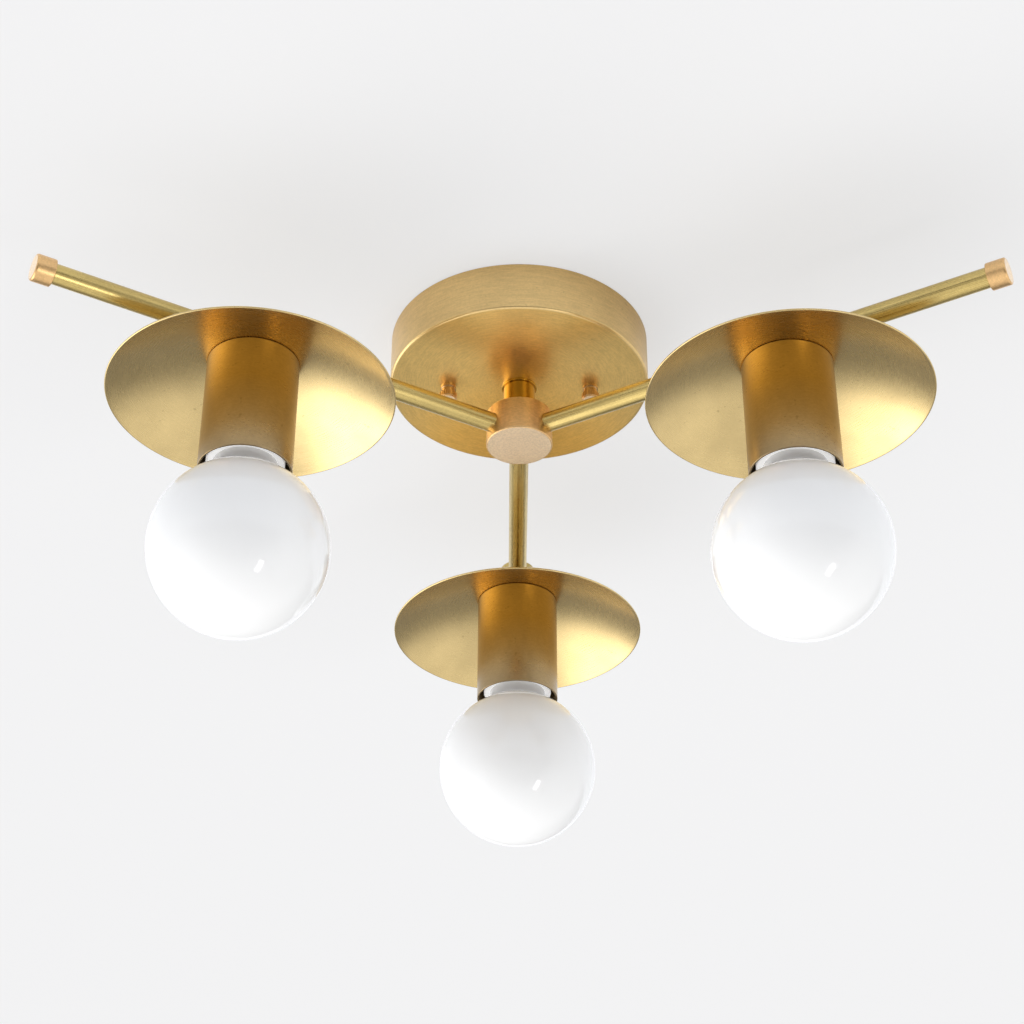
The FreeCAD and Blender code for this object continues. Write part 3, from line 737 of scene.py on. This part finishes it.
def make_canopy():
    sizes = settings()[0]
    radius, low, high = extent("canopy")
    wall = sizes.canopy_wall
    bore = extent("centre_nipple")[0] + sizes.loose_fit
    inside = radius - wall
    rim = sizes.edge_break / 2
    corners = [(bore, low, 0), (radius, low, sizes.canopy_edge), (radius, high, rim), (inside, high, rim),
               (inside, low + wall, 0), (bore, low + wall, 0)]
    mesh = turned_mesh(softened(corners, True), finish("satin_brass"), sizes.turning_steps)
    hole = sizes.stud_width / 2 + sizes.loose_fit
    holes = [upright_hole("cap_nut_" + side, low - wall, low + 2 * wall, hole) for side in SIDES]
    show("canopy_plate", drilled(mesh, holes, sizes.tube_steps), ROOT_BODY, "canopy")


def make_nuts():
    sizes = settings()[0]
    stud = sizes.stud_width / 2 + sizes.loose_fit / 2
    waist = sizes.nut_waist / 2
    collar = sizes.nut_collar / 2
    rounding = sizes.edge_break
    slight = rounding * 0.4
    bevel = sizes.nut_bevel
    brass_finish = finish("machined_brass")
    for side in SIDES:
        node = "cap_nut_" + side
        radius, low, high = extent(node)
        valley = radius - sizes.knurl_height
        waist_top = high - sizes.nut_collar_height
        head_top = waist_top - sizes.nut_waist_height
        roof = high - sizes.nut_thread
        corners = [(0, low, 0), (valley - bevel, low, slight), (valley, low + bevel, slight),
                   (valley, head_top, rounding), (waist, head_top, rounding), (waist, waist_top, rounding),
                   (collar, waist_top, rounding), (collar, high, 0), (stud, high, 0), (stud, roof, 0),
                   (0, roof, 0)]
        body = turned_mesh(softened(corners, False), brass_finish, sizes.small_steps)
        knurls = knurl_mesh(sizes.knurls, sizes.ridge_sides, valley, sizes.knurl_height, low + bevel * 1.3,
                            head_top - rounding, brass_finish)
        mesh = joined([body, knurls])
        mesh.transform(at_axis(node))
        show(node + "_piece", mesh, "nut_" + side, node)


def make_neck():
    sizes = settings()[0]
    ring, low, high = extent("neck")
    tube = sizes.neck_width / 2
    bore = sizes.neck_bore / 2
    ledge = high - sizes.neck_ring
    rounding = sizes.edge_break * 0.6
    corners = [(bore, low, 0), (tube, low, 0), (tube, ledge, 0), (ring, ledge, rounding), (ring, high, 0),
               (bore, high, 0)]
    mesh = turned_mesh(softened(corners, True), finish("polished_brass"), sizes.small_steps)
    show("neck_tube", mesh, ROOT_BODY, "neck")


def make_hub():
    sizes = settings()[0]
    radius, low, high = extent("hub_body")
    cover, ledge = extent("hub_cover")[:2]
    room = sizes.hub_bore / 2
    recess = cover + sizes.close_fit
    floor = low + sizes.hub_floor
    corners = [(0, low, 0), (radius, low, sizes.hub_edge), (radius, high, sizes.edge_break), (recess, high, 0),
               (recess, ledge, 0), (room, ledge, 0), (room, floor, 0), (0, floor, 0)]
    mesh = turned_mesh(softened(corners, False), finish("machined_brass"), sizes.turning_steps)
    rise = Vector((0, 0, middle("arm_1").z))
    bore = sizes.arm_width / 2 + sizes.close_fit
    holes = [(rise + arm_heading(number) * room / 2, rise + arm_heading(number) * radius * 1.5, bore)
             for number in LAMPS]
    show("hub_drum", drilled(mesh, holes, sizes.tube_steps), ROOT_BODY, "hub_body")


def make_arms():
    sizes = settings()[0]
    radius = sizes.arm_width / 2
    bore = radius - sizes.arm_wall
    level = middle("arm_1").z
    for number in LAMPS:
        node = "arm_%d" % number
        start, end = reach_of(node, number)
        far = end - start
        corners = [(bore, 0, 0), (radius, 0, 0), (radius, far, 0), (bore, far, 0)]
        laid = along_arm(number, start, level)
        mesh = turned_mesh(softened(corners, True), finish("brushed_brass"), sizes.tube_steps, laid)
        hole = upright_hole("coupling_%d" % number, level - radius * 2, level, sizes.arm_wire_hole / 2)
        tube = drilled(mesh, [hole], sizes.wire_hole_steps, laid)
        show("arm_tube_%d" % number, tube, ROOT_BODY, node)


def make_end_caps():
    sizes = settings()[0]
    level = middle("arm_1").z
    for number in LAMPS:
        node = "end_cap_%d" % number
        start, end = reach_of(node, number)
        low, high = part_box(node)
        radius = (high.z - low.z) / 2
        far = end - start
        hole = sizes.arm_width / 2 + sizes.close_fit
        depth = sizes.end_cap_depth
        corners = [(0, depth, 0), (hole, depth, 0), (hole, 0, 0), (radius, 0, sizes.edge_break),
                   (radius, far, sizes.end_cap_edge), (0, far, 0)]
        mesh = turned_mesh(softened(corners, False), finish("machined_brass"), sizes.small_steps,
                           along_arm(number, start, level))
        show("end_knob_%d" % number, mesh, ROOT_BODY, node)


def make_couplings():
    sizes = settings()[0]
    level = middle("arm_1").z
    bore = sizes.arm_width / 2 + sizes.close_fit
    nipple = extent("centre_nipple")[0] + sizes.close_fit
    screw = sizes.set_screw / 2 + sizes.close_fit
    for number in LAMPS:
        node = "coupling_%d" % number
        radius, low, high = extent(node)
        corners = [(0, low, 0), (radius, low, sizes.edge_break / 2), (radius, high, sizes.coupling_edge),
                   (0, high, 0)]
        profile = softened(corners, False, steps=10)
        mesh = turned_mesh(profile, finish("brushed_brass"), sizes.small_steps, at_axis(node))
        across = axis_of(node) + Vector((0, 0, level))
        reach = arm_heading(number) * radius * 2
        holes = [(across - reach, across + reach, bore), upright_hole(node, low - radius, level, nipple),
                 upright_hole(node, level, high + radius, screw)]
        block = drilled(mesh, holes, sizes.tube_steps, at_axis(node))
        show("coupling_block_%d" % number, block, ROOT_BODY, node)


def round_lip(core, toward, across, steps=8):
    """Points of a half round lip, from one side of a wall to the other."""
    angles = [math.pi * step / steps for step in range(1, steps)]
    return [core + across * math.sin(angle) - toward * math.cos(angle) for angle in angles]


def make_shades():
    sizes = settings()[0]
    hole = extent("centre_nipple")[0] + sizes.loose_fit
    wall = sizes.shade_wall
    inner = sizes.shade_curve
    outer = inner + wall
    seat = sizes.shade_seat / 2
    lip = sizes.shade_lip
    for number in LAMPS:
        node = "shade_%d" % number
        radius, _, high = extent(node)
        seat_under = high - wall
        centre = seat_under - math.sqrt(inner ** 2 - seat ** 2)
        rim = math.acos(radius / inner)
        lip_start = rim + lip / inner
        outer_seat = math.sqrt(outer ** 2 - (high - centre) ** 2)
        under = sphere_points(centre, inner, math.acos(seat / inner), lip_start, sizes.shade_steps)
        over = sphere_points(centre, outer, rim + lip / outer, math.acos(outer_seat / outer), sizes.shade_steps)
        toward = Vector((math.cos(rim), math.sin(rim)))
        outwards = Vector((toward.y, -toward.x))
        core = Vector((0, centre)) + Vector((math.cos(lip_start), math.sin(lip_start))) * (inner + wall / 2)
        edge = round_lip(core, toward * wall / 2, outwards * lip)
        first = Vector((hole, seat_under))
        points = [first, *under, *edge, *over, Vector((hole, high)), first]
        show_turned("shade_dish_%d" % number, points, sizes.turning_steps, ROOT_BODY, "spun_brass", node)


def make_cups():
    sizes = settings()[0]
    bore = extent("centre_nipple")[0] + sizes.loose_fit
    for number in LAMPS:
        node = "cup_%d" % number
        radius, low, high = extent(node)
        wall = sizes.cup_wall
        roof = high - sizes.cup_top_wall
        lip = sizes.edge_break
        corners = [(radius - wall, low, lip), (radius, low, lip), (radius, high, sizes.cup_edge),
                   (bore, high, 0), (bore, roof, 0), (radius - wall, roof, 0)]
        show_turned("cup_sleeve_%d" % number, softened(corners, True), sizes.turning_steps, ROOT_BODY,
                    "cup_brass", node)


def make_globes():
    sizes = settings()[0]
    for number in LAMPS:
        node = "globe_%d" % number
        radius, low, high = extent(node)
        centre = low + radius
        neck = sizes.globe_neck / 2
        fillet = sizes.globe_fillet
        wall = sizes.globe_wall
        points = globe_side(centre, radius, neck, fillet, high, sizes.globe_steps)
        inside = globe_side(centre, radius - wall, neck - wall, fillet + wall, high, sizes.globe_steps)
        show_turned("globe_glass_%d" % number, points + inside[::-1], sizes.turning_steps,
                    "bulb_%d" % number, "opal_globe", node)


def globe_side(centre, radius, neck, fillet, top, steps):
    """Profile of a ball that runs over a fillet into an upright neck."""
    hinge_r = neck + fillet
    hinge_z = centre + math.sqrt((radius + fillet) ** 2 - hinge_r ** 2)
    meet = math.atan2(hinge_z - centre, hinge_r)
    points = sphere_points(centre, radius, -math.pi / 2, meet, steps)
    points[0] = Vector((0, centre - radius))
    start = meet + math.pi
    for step in range(1, FILLET_STEPS + 1):
        angle = start + (math.pi - start) * step / FILLET_STEPS
        points.append(Vector((hinge_r + fillet * math.cos(angle), hinge_z + fillet * math.sin(angle))))
    points.append(Vector((neck, top)))
    return points


def make_collars():
    sizes = settings()[0]
    for number in LAMPS:
        node = "bulb_collar_%d" % number
        radius, low, high = extent(node)
        top = sizes.collar_top / 2
        bore = sizes.cap_bore / 2
        neck = sizes.globe_neck / 2 + sizes.loose_fit
        lap = low + sizes.collar_lap
        lip = sizes.edge_break
        corners = [(neck, low, 0), (radius, low, lip), (radius, high - sizes.collar_flare, lip), (top, high, 0),
                   (bore, high, 0), (bore, lap, 0), (neck, lap, 0)]
        show_turned("collar_ring_%d" % number, softened(corners, True), sizes.collar_steps,
                    "bulb_%d" % number, "white_collar", node)


def dress_inner_parts():
    """Give every node still shown from the frame the finish of its slot."""
    slots = {row["node"]: row["material_slot"] for row in frame["record"]["subparts"]}
    for node, item in frame["nodes"].items():
        item.data.materials.clear()
        item.data.materials.append(finish(slots[node]))


# ---------------------------------------------------------------- stage

def white_shader(graph, colour, even):
    """Matt colour with an even white on top of it."""
    matt = graph.add("ShaderNodeBsdfDiffuse", {"Color": (*colour, 1)})
    glow = graph.add("ShaderNodeEmission", {"Color": (1, 1, 1, 1), "Strength": even})
    return graph.add("ShaderNodeAddShader", {0: matt.outputs[0], 1: glow.outputs[0]}).outputs[0]


def ceiling_material(stage):
    """White seen from below, clear for the camera from above."""
    material, graph = shaded(bpy.data.materials, "ceiling_white")
    path = graph.add("ShaderNodeLightPath").outputs
    mirrored = graph.maths("MAXIMUM", path["Is Glossy Ray"], path["Is Transmission Ray"])
    lift = graph.maths("MULTIPLY", mirrored, stage.ceiling_lift)
    real = white_shader(graph, stage.ceiling_colour, lift)
    seen = white_shader(graph, stage.seen_colour, stage.seen_white)
    lit = graph.either(path["Is Camera Ray"], real, seen)
    clear = graph.add("ShaderNodeBsdfTransparent").outputs[0]
    back = graph.add("ShaderNodeNewGeometry").outputs["Backfacing"]
    hidden = graph.maths("MULTIPLY", back, path["Is Camera Ray"])
    graph.add("ShaderNodeOutputMaterial", {"Surface": graph.either(hidden, lit, clear)})
    return material


def make_ceiling(stage):
    half = stage.ceiling_half
    level = stage.ceiling_gap
    corners = [(-half, -half, level), (-half, half, level), (half, half, level), (half, -half, level)]
    mesh = bpy.data.meshes.new("ceiling")
    mesh.from_pydata(corners, [], [(0, 1, 2, 3)])
    mesh.materials.append(ceiling_material(stage))
    new_piece("ceiling", mesh)


def make_world(stage):
    """Even white for the camera. For the rest, dim walls over a bright floor, with a broad glow at the left."""
    world, graph = shaded(bpy.data.worlds, "room")
    path = graph.add("ShaderNodeLightPath").outputs
    heading = graph.add("ShaderNodeTexCoord").outputs["Generated"]
    parts = graph.parts(heading)
    sideways = graph.maths("MULTIPLY", graph.maths("POWER", parts["X"], 2), stage.side_gain)
    slope = graph.maths("SUBTRACT", sideways, parts["Z"])
    power = graph.ranged(slope, (stage.wall_slope, stage.floor_slope), (stage.wall_power, stage.floor_power),
                         interpolation_type="SMOOTHSTEP")
    facing = graph.add("ShaderNodeVectorMath", {0: heading, 1: Vector(stage.glow_heading).normalized()},
                       operation="DOT_PRODUCT").outputs["Value"]
    nearness = graph.ranged(facing, (stage.glow_edge, 1), (0, 1))
    glow = graph.maths("MULTIPLY", graph.maths("POWER", nearness, stage.glow_falloff), stage.glow_power)
    brightness = graph.maths("ADD", power, glow)
    room = graph.add("ShaderNodeBackground", {"Color": (*stage.room_colour, 1), "Strength": brightness})
    white = graph.add("ShaderNodeBackground", {"Color": (1, 1, 1, 1), "Strength": stage.backdrop_white})
    shown = graph.either(path["Is Camera Ray"], room.outputs[0], white.outputs[0])
    graph.add("ShaderNodeOutputWorld", {"Surface": shown})
    bpy.context.scene.world = world


def make_lamp(name, place, aim, width, height, power):
    """Soft lamp that faces a point."""
    light = bpy.data.lights.new(name, "AREA")
    light.shape = "RECTANGLE"
    light.size = width
    light.size_y = height
    light.energy = power
    lamp = new_piece(name, light)
    lamp.location = place
    lamp.rotation_euler = (aim - place).to_track_quat("-Z", "Y").to_euler()


def make_camera(stage):
    pitch = stage.camera_pitch
    yaw = stage.camera_yaw
    forward = Vector((math.sin(yaw) * math.cos(pitch), math.cos(yaw) * math.cos(pitch), math.sin(pitch)))
    right = Vector((math.cos(yaw), -math.sin(yaw), 0))
    up = right.cross(forward)
    turn = Matrix((right, up, -forward)).transposed().to_4x4() @ Matrix.Rotation(stage.camera_roll, 4, "Z")
    data = bpy.data.cameras.new("photo_camera")
    data.sensor_width = stage.sensor
    data.sensor_fit = "HORIZONTAL"
    data.lens = stage.lens
    camera = new_piece("photo_camera", data)
    camera.matrix_world = Matrix.Translation(stage.camera_place) @ turn
    bpy.context.scene.camera = camera


def make_stage():
    stage = settings()[2]
    make_ceiling(stage)
    make_world(stage)
    aim = stage.lamp_aim
    make_lamp("near_window", stage.near_place, aim, stage.near_width, stage.near_height, stage.near_power)
    for name, way in (("left_window", -1), ("right_window", 1)):
        place = Vector((way * stage.side_place.x, stage.side_place.y, stage.side_place.z))
        make_lamp(name, place, aim, stage.side_width, stage.side_width, stage.side_power)
    make_camera(stage)
    bpy.context.scene.view_settings.view_transform = "Standard"


# ---------------------------------------------------------------- operators and panel

class CEILINGLIGHT_OT_canopy(bpy.types.Operator):
    """Build the ceiling plate"""
    bl_idname = "ceiling_light.canopy"
    bl_label = "Ceiling plate"

    def execute(self, context):
        make_canopy()
        return {"FINISHED"}


class CEILINGLIGHT_OT_nuts(bpy.types.Operator):
    """Build the two knurled cap nuts"""
    bl_idname = "ceiling_light.nuts"
    bl_label = "Cap nuts"

    def execute(self, context):
        make_nuts()
        return {"FINISHED"}


class CEILINGLIGHT_OT_neck(bpy.types.Operator):
    """Build the neck with its ring"""
    bl_idname = "ceiling_light.neck"
    bl_label = "Neck"

    def execute(self, context):
        make_neck()
        return {"FINISHED"}


class CEILINGLIGHT_OT_hub(bpy.types.Operator):
    """Build the hub"""
    bl_idname = "ceiling_light.hub"
    bl_label = "Hub"

    def execute(self, context):
        make_hub()
        return {"FINISHED"}


class CEILINGLIGHT_OT_arms(bpy.types.Operator):
    """Build the three arm tubes"""
    bl_idname = "ceiling_light.arms"
    bl_label = "Arms"

    def execute(self, context):
        make_arms()
        return {"FINISHED"}


class CEILINGLIGHT_OT_end_caps(bpy.types.Operator):
    """Build the cap at the end of each arm"""
    bl_idname = "ceiling_light.end_caps"
    bl_label = "End caps"

    def execute(self, context):
        make_end_caps()
        return {"FINISHED"}


class CEILINGLIGHT_OT_couplings(bpy.types.Operator):
    """Build the coupling over each lamp"""
    bl_idname = "ceiling_light.couplings"
    bl_label = "Couplings"

    def execute(self, context):
        make_couplings()
        return {"FINISHED"}


class CEILINGLIGHT_OT_shades(bpy.types.Operator):
    """Build the three dish shades"""
    bl_idname = "ceiling_light.shades"
    bl_label = "Shades"

    def execute(self, context):
        make_shades()
        return {"FINISHED"}


class CEILINGLIGHT_OT_cups(bpy.types.Operator):
    """Build the cup over each socket"""
    bl_idname = "ceiling_light.cups"
    bl_label = "Cups"

    def execute(self, context):
        make_cups()
        return {"FINISHED"}


class CEILINGLIGHT_OT_globes(bpy.types.Operator):
    """Build the three opal globes"""
    bl_idname = "ceiling_light.globes"
    bl_label = "Globes"

    def execute(self, context):
        make_globes()
        return {"FINISHED"}


class CEILINGLIGHT_OT_collars(bpy.types.Operator):
    """Build the collar of each bulb"""
    bl_idname = "ceiling_light.collars"
    bl_label = "Collars"

    def execute(self, context):
        make_collars()
        return {"FINISHED"}


class CEILINGLIGHT_OT_inner(bpy.types.Operator):
    """Give the inner parts their finishes"""
    bl_idname = "ceiling_light.inner"
    bl_label = "Inner parts"

    def execute(self, context):
        dress_inner_parts()
        return {"FINISHED"}


class CEILINGLIGHT_OT_stage(bpy.types.Operator):
    """Set up the ceiling, the lamps and the camera"""
    bl_idname = "ceiling_light.stage"
    bl_label = "Stage"

    def execute(self, context):
        make_stage()
        return {"FINISHED"}


OPERATORS = (
    CEILINGLIGHT_OT_canopy,
    CEILINGLIGHT_OT_nuts,
    CEILINGLIGHT_OT_neck,
    CEILINGLIGHT_OT_hub,
    CEILINGLIGHT_OT_arms,
    CEILINGLIGHT_OT_end_caps,
    CEILINGLIGHT_OT_couplings,
    CEILINGLIGHT_OT_shades,
    CEILINGLIGHT_OT_cups,
    CEILINGLIGHT_OT_globes,
    CEILINGLIGHT_OT_collars,
    CEILINGLIGHT_OT_inner,
    CEILINGLIGHT_OT_stage,
)
GROUPS = (CeilingLightSizes, CeilingLightColours, CeilingLightStage)


class CEILINGLIGHT_PT_panel(bpy.types.Panel):
    """Settings and pieces of the ceiling light"""
    bl_idname = "CEILINGLIGHT_PT_panel"
    bl_label = "Ceiling Light"
    bl_space_type = "VIEW_3D"
    bl_region_type = "UI"
    bl_category = "Ceiling Light"

    def draw(self, context):
        layout = self.layout
        for operator in OPERATORS:
            layout.operator(operator.bl_idname)
        for group in settings():
            box = layout.box()
            for name in type(group).__annotations__:
                box.prop(group, name)


def register():
    for group in GROUPS:
        bpy.utils.register_class(group)
    bpy.types.Scene.ceiling_light_sizes = PointerProperty(type=CeilingLightSizes)
    bpy.types.Scene.ceiling_light_colours = PointerProperty(type=CeilingLightColours)
    bpy.types.Scene.ceiling_light_stage = PointerProperty(type=CeilingLightStage)
    for operator in OPERATORS:
        bpy.utils.register_class(operator)
    bpy.utils.register_class(CEILINGLIGHT_PT_panel)


def unregister():
    bpy.utils.unregister_class(CEILINGLIGHT_PT_panel)
    for operator in reversed(OPERATORS):
        bpy.utils.unregister_class(operator)
    del bpy.types.Scene.ceiling_light_stage
    del bpy.types.Scene.ceiling_light_colours
    del bpy.types.Scene.ceiling_light_sizes
    for group in reversed(GROUPS):
        bpy.utils.unregister_class(group)


def main():
    register()
    for operator in OPERATORS:
        family, name = operator.bl_idname.split(".")
        getattr(getattr(bpy.ops, family), name)()


if __name__ == "__main__":
    main()
